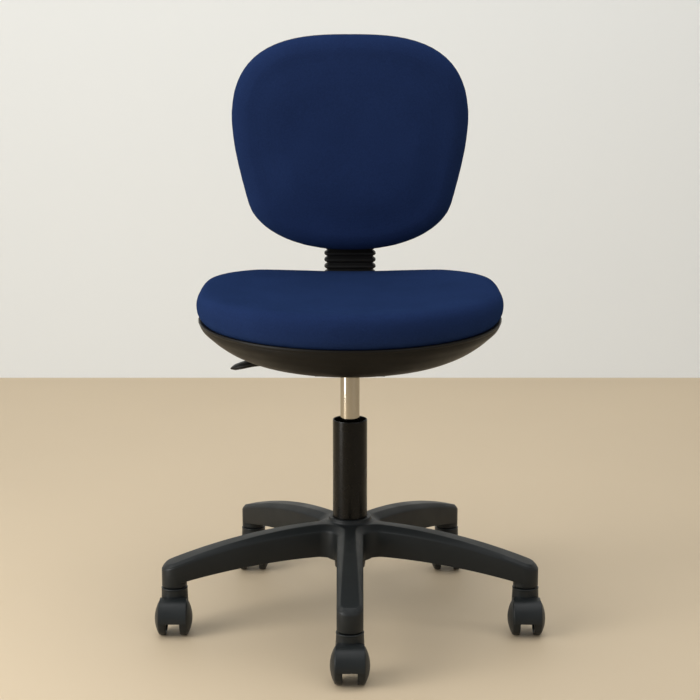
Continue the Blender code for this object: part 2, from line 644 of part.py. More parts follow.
def back_ring(scale, y, bow=0.0, count=34):
    """One ring of the back's outline: wider and squarer at the top. Bow brings the sides forward."""
    middle = (BACK_TOP_Z + BACK_BOTTOM_Z) / 2
    half_height = (BACK_TOP_Z - BACK_BOTTOM_Z) / 2
    ring = []
    for i in range(count):
        angle = 2 * math.pi * (i + 0.5) / count
        up = math.sin(angle) > 0
        power = BACK_TOP_POWER if up else BACK_BOTTOM_POWER
        height = BACK_TOP_Z - BACK_MID_Z if up else BACK_MID_Z - BACK_BOTTOM_Z
        reach = (abs(math.cos(angle) / BACK_HALF_X) ** power + abs(math.sin(angle) / height) ** power)
        reach = reach ** (-1 / power)
        z = BACK_MID_Z + reach * math.sin(angle)
        x = reach * math.cos(angle) * (1 + BACK_TAPER * (z - BACK_MID_Z) / half_height)
        x *= scale
        ring.append(Vector((x, y - bow * (x / BACK_HALF_X) ** 2, middle + (z - middle) * scale)))
    return ring


def back_cushion():
    """Foam pad of the back: flat behind, rounded edge, gently hollowed front."""
    rings = [back_ring(*row) for row in (
        (0.50, 0.2240, 0), (0.880, 0.2240, 0), (0.945, 0.2190, 0), (0.958, BACK_SEAM_Y - GAP, 0),
        (0.984, BACK_SEAM_Y - GAP, 0),
        (1.000, 0.2000, 0.001), (0.992, 0.1870, 0.002), (0.950, 0.1765, 0.003), (0.850, 0.1695, 0.004),
        (0.600, 0.1660, 0.003), (0.250, 0.1655, 0.0))]
    return loft("back_cushion", rings, FABRIC)


def back_board():
    board = loft("back_board", [back_ring(0.86, BACK_BOARD_Y[0]), back_ring(0.86, BACK_BOARD_Y[1])], PLYWOOD)
    holes = [rod("hole", 0.0028, 0.2270, 0.2400, STEEL, (x, 0, z), "Y", 10) for x, z in BACK_BOLTS]
    stem = rod("stem", 0.0055, 0.2300, 0.2400, STEEL, (0, 0, HEIGHT_KNOB_Z), "Y", 14)
    return cut(board, *holes, stem)


def back_shell():
    """Moulded cover behind the back, open at the bottom for the bar and its bellows."""
    outer = ((0.984, BACK_SEAM_Y), (0.988, 0.2220), (0.970, 0.2370), (0.925, 0.2490), (0.840, 0.2570),
             (0.660, 0.2610), (0.300, BACK_SHELL_Y))
    inner = ((0.300, BACK_SHELL_Y - SHELL_WALL), (0.656, 0.2580), (0.830, 0.2541), (0.908, 0.2466),
             (0.950, 0.2358), (0.966, 0.2220), (0.964, BACK_SEAM_Y))
    shell = dished("back_shell", [back_ring(*row) for row in outer], [back_ring(*row) for row in inner],
                   SHELL_PLASTIC)
    notch = box("notch", (-0.0425, 0.2000, 0.490), (0.0425, 0.2590, 0.540), SHELL_PLASTIC)
    stem = rod("stem", 0.0055, 0.2500, 0.2800, SHELL_PLASTIC, (0, 0, HEIGHT_KNOB_Z), "Y", 16)
    return cut(shell, notch, stem)


def back_bracket():
    """Guide channel screwed to the back board; its lips hold the upright bar."""
    low, high = BRACKET_Z
    front = BACK_BOARD_Y[1] + GAP
    face = front + BRACKET_PLATE
    lips = (BAR_BACK_Y + BAR_THICKNESS / 2 + 0.0007, BAR_BACK_Y + BAR_THICKNESS / 2 + 0.0035)
    bracket = box("back_bracket", (-0.055, front, low), (0.055, face, high), STEEL)
    for side in (-1, 1):
        wall = sorted((side * 0.0307, side * 0.0337))
        lip = sorted((side * 0.0180, side * 0.0337))
        bracket = union(bracket,
                        box("wall", (wall[0], face - 0.001, low), (wall[1], lips[1], high), STEEL),
                        box("lip", (lip[0], lips[0], low), (lip[1], lips[1], high), STEEL))
    holes = [rod("hole", 0.0028, 0.2200, 0.2400, STEEL, (x, 0, z), "Y", 10) for x, z in BACK_BOLTS]
    thread = rod("thread", 0.0043, 0.2200, 0.2400, STEEL, (0, 0, HEIGHT_KNOB_Z), "Y", 14)
    return cut(bracket, *holes, thread)


def back_bolts():
    face = BACK_BOARD_Y[1] + GAP + BRACKET_PLATE
    for number, (x, z) in enumerate(BACK_BOLTS, start=1):
        hex_bolt(f"back_bolt_{number}", 0.0025, 0.0050, (0.2275, face + 0.002), (face + GAP, face + 0.0038),
                 (x, 0, z), "Y")


def build():
    clear_scene()
    base_star()
    column()
    casters()
    seat_shell()
    seat_board()
    seat_cushion()
    seat_bolts()
    seat_mechanism()
    lever()
    back_bar()
    bellows()
    knobs()
    back_cushion()
    back_board()
    back_shell()
    back_bracket()
    back_bolts()


build()
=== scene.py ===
"""Looks of the swivel office chair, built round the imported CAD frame.

Metres, +Z up, the chair faces -Y, the gas column stands on the origin.
"""

import json
import math

import bmesh
import bpy
import numpy as np
from mathutils import Matrix, Vector


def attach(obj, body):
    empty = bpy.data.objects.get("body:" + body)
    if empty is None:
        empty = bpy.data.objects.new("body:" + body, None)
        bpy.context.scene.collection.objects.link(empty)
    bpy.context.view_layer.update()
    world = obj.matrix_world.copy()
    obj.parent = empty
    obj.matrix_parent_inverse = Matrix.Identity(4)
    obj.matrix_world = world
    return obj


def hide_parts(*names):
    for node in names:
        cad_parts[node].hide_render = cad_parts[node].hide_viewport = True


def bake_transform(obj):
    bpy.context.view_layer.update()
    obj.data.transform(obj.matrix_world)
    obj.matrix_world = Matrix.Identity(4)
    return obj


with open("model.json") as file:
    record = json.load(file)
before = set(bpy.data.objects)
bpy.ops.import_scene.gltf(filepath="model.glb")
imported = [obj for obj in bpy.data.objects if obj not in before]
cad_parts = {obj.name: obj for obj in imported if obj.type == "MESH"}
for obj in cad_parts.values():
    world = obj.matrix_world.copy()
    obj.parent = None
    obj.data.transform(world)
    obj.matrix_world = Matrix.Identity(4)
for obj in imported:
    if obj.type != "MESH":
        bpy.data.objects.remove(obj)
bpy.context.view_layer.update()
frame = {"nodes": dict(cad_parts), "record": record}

# Star base and casters.
LEG_ANGLES = (-90, -18, 54, 126, 198)
STEM_CIRCLE = 0.263  # radius of the circle on which the caster stems stand
LEG_HALF = 0.019
TIP_HALF = 0.0178
NOSE_CHORD = 0.0095  # the crest ends straight, this far beyond the caster's stem
FILLET = 0.020
HUB_RING = 0.031
LEG_WALL = 0.0034
AXLE = (-0.020, 0.025)  # behind the stem and above the floor

# Seat: half sizes of its plan, and how far its seam climbs from the front edge to the middle.
SEAT_X = 0.2175
SEAT_Y = 0.210
SEAM_RISE = 0.012

# Bent bar: distance of the upright part behind the column, height of the level part, bend radius.
BAR_BACK = 0.240
BAR_LOW = 0.365
BAR_BEND = 0.040
PLEAT = 0.0102

# Backrest outline.
BACK_TOP = 0.841
BACK_LOW = 0.510
BACK_X = 0.1590
BACK_WIDEST = 0.586
BACK_FLARE = 0.2787

RING_POINTS = 144
CLOTH_VOXEL = 0.0050
CLOTH_SWELL = 0.0030
CLOTH_FRAMES = 20

THREAD_SCALE = 380.0
NAVY = (0.0128, 0.0255, 0.0800)

# Room: half width of floor and wall, distance of the wall behind the column, height of the wall.
ROOM_HALF = 6
WALL_Y = 1.71
WALL_HEIGHT = 4


# ------------------------------------------------------------------ node materials

class Look:
    """A Principled material whose sockets are fed from object-space textures."""

    def __init__(self, name, colour, roughness, metallic=0.0, specular=0.5, **sockets):
        self.material = bpy.data.materials.new(name)
        self.material.use_nodes = True
        self.nodes = self.material.node_tree.nodes
        self.links = self.material.node_tree.links
        self.shader = self.nodes["Principled BSDF"]
        self.shader.inputs["Base Color"].default_value = (*colour, 1)
        self.shader.inputs["Roughness"].default_value = roughness
        self.shader.inputs["Metallic"].default_value = metallic
        self.shader.inputs["Specular IOR Level"].default_value = specular
        for socket, value in sockets.items():
            self.shader.inputs[socket.replace("_", " ")].default_value = value
        self.place = self.nodes.new("ShaderNodeTexCoord").outputs["Object"]
        self.colour = colour

    def stretch(self, scale):
        node = self.nodes.new("ShaderNodeMapping")
        node.inputs["Scale"].default_value = scale
        self.links.new(self.place, node.inputs["Vector"])
        return node.outputs["Vector"]

    def noise(self, scale, detail=3.0, place=None):
        node = self.nodes.new("ShaderNodeTexNoise")
        node.inputs["Scale"].default_value = scale
        node.inputs["Detail"].default_value = detail
        self.links.new(place or self.place, node.inputs["Vector"])
        return node.outputs["Fac"]

    def wave(self, scale, axis, distortion):
        node = self.nodes.new("ShaderNodeTexWave")
        node.bands_direction = axis
        node.inputs["Scale"].default_value = scale
        node.inputs["Distortion"].default_value = distortion
        node.inputs["Detail"].default_value = 1.0
        self.links.new(self.place, node.inputs["Vector"])
        return node.outputs["Fac"]

    def weave(self, scale):
        """Crossed threads on whichever two axes lie in the surface."""
        waves = [self.wave(scale, axis, 0.5) for axis in "XYZ"]
        split = self.nodes.new("ShaderNodeSeparateXYZ")
        self.links.new(self.place.node.outputs["Normal"], split.inputs[0])
        total = None
        for k in range(3):
            cross = self.maths("MULTIPLY", waves[k - 1], waves[k - 2])
            facing = self.maths("ABSOLUTE", split.outputs[k], 0.0)
            share = self.maths("MULTIPLY", cross, facing)
            total = share if total is None else self.maths("ADD", total, share)
        return total

    def maths(self, kind, a, b):
        node = self.nodes.new("ShaderNodeMath")
        node.operation = kind
        for socket, value in zip(node.inputs, (a, b)):
            if isinstance(value, (int, float)):
                socket.default_value = value
            else:
                self.links.new(value, socket)
        return node.outputs["Value"]

    def spread(self, value, low, high):
        """Map a texture's middle range to low..high."""
        node = self.nodes.new("ShaderNodeMapRange")
        node.inputs["From Min"].default_value = 0.3
        node.inputs["From Max"].default_value = 0.7
        node.inputs["To Min"].default_value = low
        node.inputs["To Max"].default_value = high
        self.links.new(value, node.inputs["Value"])
        return node.outputs["Result"]

    def tint(self, value, dark, light, start=0.3, end=0.7):
        """Colour between dark and light times the base colour."""
        node = self.nodes.new("ShaderNodeValToRGB")
        ramp = node.color_ramp.elements
        ramp[0].position, ramp[1].position = start, end
        ramp[0].color = (*(c * dark for c in self.colour), 1)
        ramp[1].color = (*(c * light for c in self.colour), 1)
        self.links.new(value, node.inputs["Fac"])
        self.links.new(node.outputs["Color"], self.shader.inputs["Base Color"])

    def rough(self, value, low, high):
        self.links.new(self.spread(value, low, high), self.shader.inputs["Roughness"])

    def bump(self, value, strength, distance):
        node = self.nodes.new("ShaderNodeBump")
        node.inputs["Strength"].default_value = strength
        node.inputs["Distance"].default_value = distance
        self.links.new(value, node.inputs["Height"])
        if self.shader.inputs["Normal"].is_linked:
            self.links.new(self.shader.inputs["Normal"].links[0].from_socket, node.inputs["Normal"])
        self.links.new(node.outputs["Normal"], self.shader.inputs["Normal"])


def moulded(name, colour, roughness, grain=1400.0, depth=0.00012, specular=0.26):
    """Fine spark-eroded grain of moulded plastic, with faint handling marks."""
    look = Look(name, colour, roughness, 0.0, specular)
    patches = look.noise(9.0, 4.0)
    look.tint(patches, 0.88, 1.16)
    look.rough(look.noise(26.0, 5.0), roughness - 0.05, roughness + 0.07)
    look.bump(look.noise(grain, 2.0), 0.55, depth)
    return look.material


def painted(name, colour, roughness):
    """Black stove enamel: faint orange peel under a smooth gloss."""
    look = Look(name, colour, roughness, 0.0, 0.22)
    look.tint(look.noise(14.0, 3.0), 0.9, 1.12)
    look.rough(look.noise(40.0, 4.0), roughness - 0.04, roughness + 0.06)
    look.bump(look.noise(420.0, 1.0), 0.25, 0.00010)
    return look.material


def polished(name, colour, roughness):
    """Chrome with hair-fine drawing marks round the cylinder and a little dust."""
    look = Look(name, colour, roughness, 1.0)
    lines = look.noise(60.0, 2.0, look.stretch((1, 1, 40)))
    look.rough(lines, roughness - 0.03, roughness + 0.05)
    look.tint(look.noise(7.0, 2.0), 0.95, 1.03)
    look.bump(lines, 0.05, 0.00003)
    return look.material


def steel(name, colour, roughness):
    """Zinc-plated steel with faint brushing."""
    look = Look(name, colour, roughness, 1.0)
    brushed = look.noise(90.0, 3.0, look.stretch((1, 12, 12)))
    look.rough(brushed, roughness - 0.08, roughness + 0.10)
    look.tint(look.noise(30.0, 3.0), 0.85, 1.1)
    look.bump(brushed, 0.12, 0.00005)
    return look.material


def plywood(name, colour):
    look = Look(name, colour, 0.7)
    grain = look.noise(24.0, 5.0, look.stretch((1, 9, 60)))
    look.tint(grain, 0.7, 1.15)
    look.bump(grain, 0.3, 0.0002)
    return look.material


def woven(name, colour):
    """Plain-weave upholstery: crossed sets of threads on every side, slubs and a faint bloom."""
    look = Look(name, colour, 0.95, 0.0, 0.0, Sheen_Weight=0.03, Sheen_Roughness=0.5)
    look.shader.inputs["Sheen Tint"].default_value = (0.20, 0.50, 1.0, 1)
    weave = look.weave(THREAD_SCALE)
    slubs = look.noise(420.0, 3.0)
    cloudy = look.noise(13.0, 3.0)
    threads = look.maths("ADD", look.maths("MULTIPLY", weave, 0.45), look.maths("MULTIPLY", slubs, 0.50))
    mixed = look.maths("ADD", threads, look.maths("MULTIPLY", cloudy, 0.35))
    look.tint(mixed, 0.75, 1.28, 0.30, 0.85)
    look.rough(slubs, 0.86, 0.98)
    look.bump(slubs, 0.20, 0.0003)
    look.bump(weave, 0.50, 0.0004)
    return look.material


LOOKS = {
    "base_nylon": moulded("moulded_nylon", (0.0110, 0.0128, 0.0130), 0.44),
    "caster_nylon": moulded("caster_plastic", (0.0118, 0.0138, 0.0140), 0.38, 1700.0, 0.00008),
    "shell_plastic": moulded("shell_plastic", (0.0068, 0.0058, 0.0042), 0.44, 1100.0, 0.00014, 0.18),
    "bushing_plastic": moulded("bushing_plastic", (0.012, 0.012, 0.012), 0.60),
    "black_rubber": moulded("sleeve_rubber", (0.012, 0.0115, 0.011), 0.52, 700.0, 0.00010),
    "black_paint": painted("black_enamel", (0.0026, 0.0022, 0.0014), 0.26),
    "chrome": polished("polished_chrome", (0.47, 0.44, 0.38), 0.09),
    "steel": steel("plated_steel", (0.50, 0.50, 0.48), 0.34),
    "plywood": plywood("plywood", (0.46, 0.31, 0.18)),
    "navy_fabric": woven("navy_weave", NAVY),
}


# ------------------------------------------------------------------ mesh building

def piece(name, verts, faces, look, body=None, smooth=35.0):
    """A mesh piece with outward faces, shaded smooth up to an angle, riding on a body."""
    mesh = bpy.data.meshes.new(name)
    mesh.from_pydata([tuple(v) for v in verts], [], faces)
    bm = bmesh.new()
    bm.from_mesh(mesh)
    bmesh.ops.remove_doubles(bm, verts=bm.verts, dist=0.00002)
    bmesh.ops.recalc_face_normals(bm, faces=bm.faces)
    bm.to_mesh(mesh)
    bm.free()
    obj = bpy.data.objects.new(name, mesh)
    bpy.context.scene.collection.objects.link(obj)
    mesh.materials.append(LOOKS[look])
    shade(obj, smooth)
    if body:
        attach(obj, body)
    return obj


def shade(obj, angle=35.0):
    mesh = obj.data
    mesh.polygons.foreach_set("use_smooth", [True] * len(mesh.polygons))
    mesh.set_sharp_from_angle(angle=math.radians(angle))


def turned(profile, segments, centre=(0, 0, 0), axis="Z"):
    """Verts and faces of a closed profile of (radius, height) turned about an axis."""
    turn = {"Z": Matrix.Identity(3), "X": Matrix(((0, 0, 1), (1, 0, 0), (0, 1, 0))),
            "Y": Matrix(((0, 1, 0), (0, 0, 1), (1, 0, 0)))}[axis]
    verts = []
    faces = []
    rows = []
    for radius, height in profile:
        count = segments if radius > 0 else 1
        rows.append([len(verts) + i for i in range(count)])
        for i in range(count):
            angle = 2 * math.pi * i / segments
            point = Vector((radius * math.cos(angle), radius * math.sin(angle), height))
            verts.append(turn @ point + Vector(centre))
    for low, high in zip(rows, rows[1:] + rows[:1]):
        if len(low) == 1 and len(high) == 1:
            continue
        for i in range(segments):
            j = (i + 1) % segments
            ring = (low[i % len(low)], low[j % len(low)], high[j % len(high)], high[i % len(high)])
            faces.append(tuple(dict.fromkeys(ring)))
    return verts, faces


def skinned(rings, loop=False, cap=True, wrap=True):
    """Verts and faces of a skin over rings of equal length.

    A loop joins the last ring to the first; cap closes the end rings; wrap closes each ring.
    """
    count = len(rings[0])
    verts = [Vector(p) for ring in rings for p in ring]
    faces = []
    last = len(rings) if loop else len(rings) - 1
    for r in range(last):
        a = r * count
        b = ((r + 1) % len(rings)) * count
        for i in range(count if wrap else count - 1):
            j = (i + 1) % count
            faces.append((a + i, a + j, b + j, b + i))
    if cap and not loop:
        for start in (0, (len(rings) - 1) * count):
            verts.append(sum((verts[start + i] for i in range(count)), Vector()) / count)
            faces += [(start + i, start + (i + 1) % count, len(verts) - 1) for i in range(count)]
    return verts, faces


def merged(*parts):
    """Several (verts, faces) as one."""
    verts = []
    faces = []
    for v, f in parts:
        start = len(verts)
        verts += list(v)
        faces += [tuple(i + start for i in face) for face in f]
    return verts, faces


def brick(low, high):
    """Box between two corners."""
    verts = [Vector((x, y, z))
             for z in (low[2], high[2]) for y in (low[1], high[1]) for x in (low[0], high[0])]
    faces = [(0, 2, 3, 1), (4, 5, 7, 6), (0, 1, 5, 4), (2, 6, 7, 3), (0, 4, 6, 2), (1, 3, 7, 5)]
    return verts, faces


def moved(part, matrix):
    verts, faces = part
    return [matrix @ v for v in verts], faces


def rounded_profile(points, radius, steps=4):
    """Round each corner of a closed (radius, height) profile, leaving axis points alone."""
    out = []
    count = len(points)
    for k, point in enumerate(points):
        here = Vector(point)
        if here.x == 0:
            out.append(tuple(here))
            continue
        before = Vector(points[k - 1]) - here
        after = Vector(points[(k + 1) % count]) - here
        cut = min(radius, before.length * 0.45, after.length * 0.45)
        start = here + before.normalized() * cut
        end = here + after.normalized() * cut
        for i in range(steps + 1):
            t = i / steps
            out.append(tuple(start * (1 - t) ** 2 + here * 2 * t * (1 - t) + end * t * t))
    return out


def add_bevel(obj, width):
    modifier = obj.modifiers.new("edges", "BEVEL")
    modifier.width = width
    modifier.segments = 2
    modifier.limit_method = "ANGLE"
    modifier.angle_limit = math.radians(30)


def combined(obj, tool, operation):
    """Boolean with a throw-away tool, applied."""
    modifier = obj.modifiers.new("combine", "BOOLEAN")
    modifier.operation = operation
    modifier.solver = "EXACT"
    modifier.object = tool
    graph = bpy.context.evaluated_depsgraph_get()
    mesh = bpy.data.meshes.new_from_object(obj.evaluated_get(graph))
    obj.modifiers.clear()
    obj.data = mesh
    bpy.data.objects.remove(tool)
    return obj


def tool(part):
    """A bare mesh object used up by a boolean."""
    mesh = bpy.data.meshes.new("tool")
    mesh.from_pydata([tuple(v) for v in part[0]], [], part[1])
    bm = bmesh.new()
    bm.from_mesh(mesh)
    bmesh.ops.recalc_face_normals(bm, faces=bm.faces)
    bm.to_mesh(mesh)
    bm.free()
    obj = bpy.data.objects.new("tool", mesh)
    bpy.context.scene.collection.objects.link(obj)
    return obj


# ------------------------------------------------------------------ star base

def crest(distance):
    """Height of a leg's top above the floor at a distance from the column."""
    return 0.1382 - 0.66 * max(0.0, distance - 0.031) ** 2


def keel(distance):
    """Height of a leg's lower edge."""
    steep = 0.50 if distance > 0.062 else 6.0
    return 0.0922 - steep * (distance - 0.062) ** 2


def chamfer(distance):
    """Width and drop of the bevel between a leg's crest and its side."""
    part = min(1.0, max(0.0, (distance - 0.050) / 0.213))
    return 0.0118 - 0.0063 * part, 0.0070 - 0.0025 * part


def leg_stations():
    """Half an outline of one fifth of the star, from mid-gap to the leg's nose.

    Each entry: outer point, inward normal, inner point, crest inset, shoulder drop, lower edge.
    """
    stations = []
    away = (LEG_HALF + FILLET) / math.sin(math.radians(36))
    centre = Vector((away * math.cos(math.radians(36)), away * math.sin(math.radians(36))))
    ring_part = 0.45
    arc_steps = 14
    for i in range(arc_steps + 1):
        t = i / arc_steps
        angle = math.radians(216 + 54 * t)
        inward = Vector((math.cos(angle), math.sin(angle)))
        outer = centre + inward * FILLET
        if t < ring_part:
            turn = math.radians(36 * (1 - t / ring_part))
            inner = Vector((math.cos(turn), math.sin(turn))) * HUB_RING
        else:
            along = (t - ring_part) / (1 - ring_part)
            inner = Vector((HUB_RING + (centre.x - HUB_RING) * along, 0))
        stations.append((outer, inward, inner, *chamfer(outer.length), keel(outer.length)))
    leg_steps = 26
    for i in range(1, leg_steps + 1):
        x = centre.x + (STEM_CIRCLE - centre.x) * i / leg_steps
        half = LEG_HALF + (TIP_HALF - LEG_HALF) * i / leg_steps
        stations.append((Vector((x, half)), Vector((0, -1)), Vector((x, 0)), *chamfer(x), keel(x)))
    nose_steps = 14
    for i in range(nose_steps + 1):
        angle = math.radians(90 * i / nose_steps)
        inward = -Vector((math.sin(angle), math.cos(angle)))
        outer = Vector((STEM_CIRCLE, 0)) - inward * TIP_HALF
        inset = max(0.0055, TIP_HALF - NOSE_CHORD / max(math.sin(angle), 0.1))
        stations.append((outer, inward, Vector((STEM_CIRCLE, 0)), inset, 0.0045, 0.0661))
    return stations


def star_half():
    """Half of one fifth of the star's skin, mirrored and turned by star_base."""
    rows = []
    for outer, inward, inner, inset, drop, low in leg_stations():
        top = crest(outer.length)

        def at(depth, height):
            flat = outer + inward * depth
            return Vector((flat.x, flat.y, height))

        shoulder = top - drop
        lift = crest((outer + inward * inset).length)
        middle = crest(inner.length)
        roof = middle - 0.0105
        rows.append([
            Vector((inner.x, inner.y, roof)),
            at(LEG_WALL + 0.006, roof - 0.0004),
            at(LEG_WALL + 0.0008, roof - 0.0035),
            at(LEG_WALL, roof - 0.007),
            at(LEG_WALL - 0.0004, low + 0.0004),
            at(LEG_WALL - 0.0010, low),
            at(0.0009, low),
            at(0.0003, low + 0.0003),
            at(0.0, low + 0.0010),
            at(0.0, shoulder - 0.0022),
            at(0.0003, shoulder - 0.0009),
            at(0.0011, shoulder),
            at(inset * 0.22, shoulder + (lift - shoulder) * 0.20),
            at(inset * 0.80, shoulder + (lift - shoulder) * 0.82),
            at(inset * 0.92, shoulder + (lift - shoulder) * 0.945),
            at(inset, lift - 0.0001),
            at(inset + 0.0011, crest((outer + inward * (inset + 0.0011)).length)),
            Vector((inner.x, inner.y, middle)),
        ])
    return skinned(rows, cap=False, wrap=False)


def star_base():
    half = star_half()
    mirror = Matrix.Diagonal((1, -1, 1, 1))
    parts = []
    for angle in LEG_ANGLES:
        turn = Matrix.Rotation(math.radians(angle), 4, "Z")
        parts += [moved(half, turn), moved(half, turn @ mirror)]
        socket = turned(rounded_profile(((0.0059, 0.0662), (0.0176, 0.0662), (0.0176, 0.0900),
                                         (0.0059, 0.0900)), 0.0006, 3), 48)
        spot = Matrix.Translation((STEM_CIRCLE, 0, 0))
        parts.append(moved(socket, turn @ spot))
        for k in range(7):
            x = 0.068 + 0.026 * k
            low = keel(x) + 0.004
            rib = brick((x - 0.0009, -0.0150, low), (x + 0.0009, 0.0150, crest(x) - 0.010))
            parts.append(moved(rib, turn))
        spine = []
        for k in range(12):
            x = 0.036 + 0.0195 * k
            low = keel(x) + 0.007
            high = crest(x) - 0.010
            spine.append([(x, -0.0009, low), (x, 0.0009, low), (x, 0.0009, high), (x, -0.0009, high)])
        parts.append(moved(skinned(spine), turn))
    ring = turned(((0.0272, 0.1300), (0.0272, 0.1437), (0.0254, 0.1438), (0.0254, 0.1446), (0.0258, 0.1449),
                   (0.0300, 0.1449), (0.0308, 0.1444), (0.0311, 0.1436), (0.0312, 0.1420), (0.0316, 0.1405),
                   (0.0325, 0.1394), (0.0340, 0.1386), (0.0360, 0.1381), (0.0360, 0.1300)), 72)
    boss = turned(rounded_profile(((0.0272, 0.0850), (0.0365, 0.0850), (0.0372, 0.1290), (0.0272, 0.1290)),
                                  0.0012, 3), 72)
    star = piece("star_base", *merged(*parts, ring, boss), "base_nylon", "base", 32.0)
    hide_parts("base_star")


# ------------------------------------------------------------------ gas column

def gas_column():
    """Painted tube, the guide in its mouth and the chromed cylinder that slides in it."""
    foot = ((0.0202, 0.0680), (0.0220, 0.0680), (0.0250, 0.0980), (0.0250, 0.2888), (0.0246, 0.2900),
            (0.0236, 0.2900), (0.0232, 0.2885), (0.0232, 0.1020), (0.0206, 0.0750), (0.0043, 0.0750),
            (0.0043, 0.0722), (0.0202, 0.0722))
    tube = piece("column_tube", *turned(rounded_profile(foot, 0.0005, 3), 96), "black_paint", "base")
    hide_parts("outer_column")
    sleeve = ((0.0143, 0.2350), (0.0229, 0.2350), (0.0229, 0.2832), (0.0205, 0.2838), (0.0160, 0.2835),
              (0.0147, 0.2845), (0.0143, 0.2835))
    guide = turned(rounded_profile(sleeve, 0.0004, 2), 72)
    bushing = piece("guide_bushing", *guide, "bushing_plastic", "base")
    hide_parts("column_bushing")
    body = ((0, 0.335), (0.0053, 0.335), (0.0053, 0.165), (0.0130, 0.165), (0.0140, 0.1662), (0.0140, 0.352),
            (0.0132, 0.385), (0.0043, 0.385), (0.0043, 0.375), (0, 0.375))
    rod = turned(rounded_profile(body, 0.0005, 3), 96)
    cylinder = piece("chromed_cylinder", *rod, "chrome", "seat")
    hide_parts("gas_cylinder")


# ------------------------------------------------------------------ casters

def arc(radius, start, end, steps, centre):
    """Points of an arc between two angles in degrees."""
    angles = [math.radians(start + (end - start) * i / steps) for i in range(steps + 1)]
    return [(centre[0] + radius * math.cos(a), centre[1] + radius * math.sin(a)) for a in angles]


def yz_prism(outline, low, high):
    """Outline of (y, z) pairs drawn out between two X values."""
    count = len(outline)
    verts = [Vector((x, y, z)) for x in (low, high) for y, z in outline]
    faces = [tuple(range(count)), tuple(range(count, 2 * count))]
    faces += [(i, (i + 1) % count, count + (i + 1) % count, count + i) for i in range(count)]
    return verts, faces


def caster_hood():
    """Housing about its stem axis, wheels trailing towards -Y."""
    guard = arc(0.0275, -8, 183, 64, AXLE)
    hood = tool(yz_prism(guard, -0.019, 0.019))
    collar = ((0, 0.036), (0.0193, 0.036), (0.0190, 0.0480), (0.0186, 0.0560), (0.0184, 0.0618),
              (0.0187, 0.0626), (0.0187, 0.0636), (0.0178, 0.0643), (0, 0.0643))
    hood = combined(hood, tool(turned(rounded_profile(collar, 0.0004, 2), 72)), "UNION")
    centre = (0, *AXLE)
    for low, high in ((-0.04, -0.0090), (0.0090, 0.04)):
        well = turned(((0, low), (0.0258, low), (0.0258, high), (0, high)), 96, centre, "X")
        hood = combined(hood, tool(well), "DIFFERENCE")
    boss = turned(((0, -0.0090), (0.0105, -0.0090), (0.0105, 0.0090), (0, 0.0090)), 48, centre, "X")
    hood = combined(hood, tool(boss), "UNION")
    bore = turned(((0, 0.050), (0.0053, 0.050), (0.0053, 0.080), (0, 0.080)), 32)
    hood = combined(hood, tool(bore), "DIFFERENCE")
    mesh = hood.data
    bpy.data.objects.remove(hood)
    return mesh


def caster_wheel(side):
    """Domed nylon wheel with a turned step round the dome and a moulded centre."""
    profile = [(0, 0.0226), (0.0033, 0.0226), (0.0033, 0.0112), (0.0085, 0.0112), (0.0088, 0.0125),
               (0.0205, 0.0125), (0.0212, 0.0102), (0.0238, 0.0100), (0.0247, 0.0103), (0.0250, 0.0112),
               (0.0250, 0.0178), (0.0248, 0.0188), (0.0243, 0.0197)]
    cap_radius = 0.0480
    centre = 0.0265 - cap_radius
    for radius in (0.0236, 0.0225, 0.0205, 0.0180, 0.0150, 0.0120, 0.0098):
        profile.append((radius, centre + math.sqrt(cap_radius ** 2 - radius ** 2)))
    rim = centre + math.sqrt(cap_radius ** 2 - 0.0092 ** 2)
    profile += [(0.0092, rim), (0.0088, rim - 0.0004), (0.0084, rim + 0.0001), (0.0060, 0.0262),
                (0, 0.0265)]
    return turned([(radius, side * x) for radius, x in profile], 72, (0, *AXLE), "X")


def casters():
    """Five twin-wheel casters, each housing and wheel on its own body."""
    hood_mesh = caster_hood()
    hood_mesh.materials.append(LOOKS["caster_nylon"])
    for number, angle in enumerate(LEG_ANGLES, start=1):
        turn = math.radians(angle)
        spot = Vector((STEM_CIRCLE * math.cos(turn), STEM_CIRCLE * math.sin(turn), 0))
        hood = bpy.data.objects.new(f"caster_housing_{number}", hood_mesh.copy())
        bpy.context.scene.collection.objects.link(hood)
        hood.location = spot
        shade(hood, 40.0)
        add_bevel(hood, 0.0005)
        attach(hood, f"caster_{number}")
        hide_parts(f"caster_hood_{number}")
        for side, label in ((1, "left"), (-1, "right")):
            part = moved(caster_wheel(side), Matrix.Translation(spot))
            wheel = piece(f"{label}_tread_{number}", *part, "caster_nylon", f"{label}_wheel_{number}", 30.0)
            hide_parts(f"wheel_{label}_{number}")


# ------------------------------------------------------------------ seat

def reach(angle, half_x, half_y, power):
    """Distance from the centre of a superellipse to its edge."""
    return (abs(math.cos(angle) / half_x) ** power + abs(math.sin(angle) / half_y) ** power) ** (-1 / power)


def seat_point(angle, scale):
    """Plan of the seat: round at the front, squarer at the rear."""
    power = 2.0 if math.sin(angle) < 0 else 3.6
    out = scale * reach(angle, SEAT_X, SEAT_Y, power)
    return out * math.cos(angle), out * math.sin(angle)


def seat_ring(scale, z, rise=0.0, narrow=0.0):
    """Ring of the seat plan, narrowed sideways, climbing from the front edge to the middle."""
    ring = []
    for i in range(RING_POINTS):
        x, y = seat_point(2 * math.pi * (i + 0.5) / RING_POINTS, scale)
        part = min(1.0, max(0.0, (y + SEAT_Y) / SEAT_Y))
        ring.append(Vector((x * (1 - narrow), y, z + SEAM_RISE * rise * part)))
    return ring


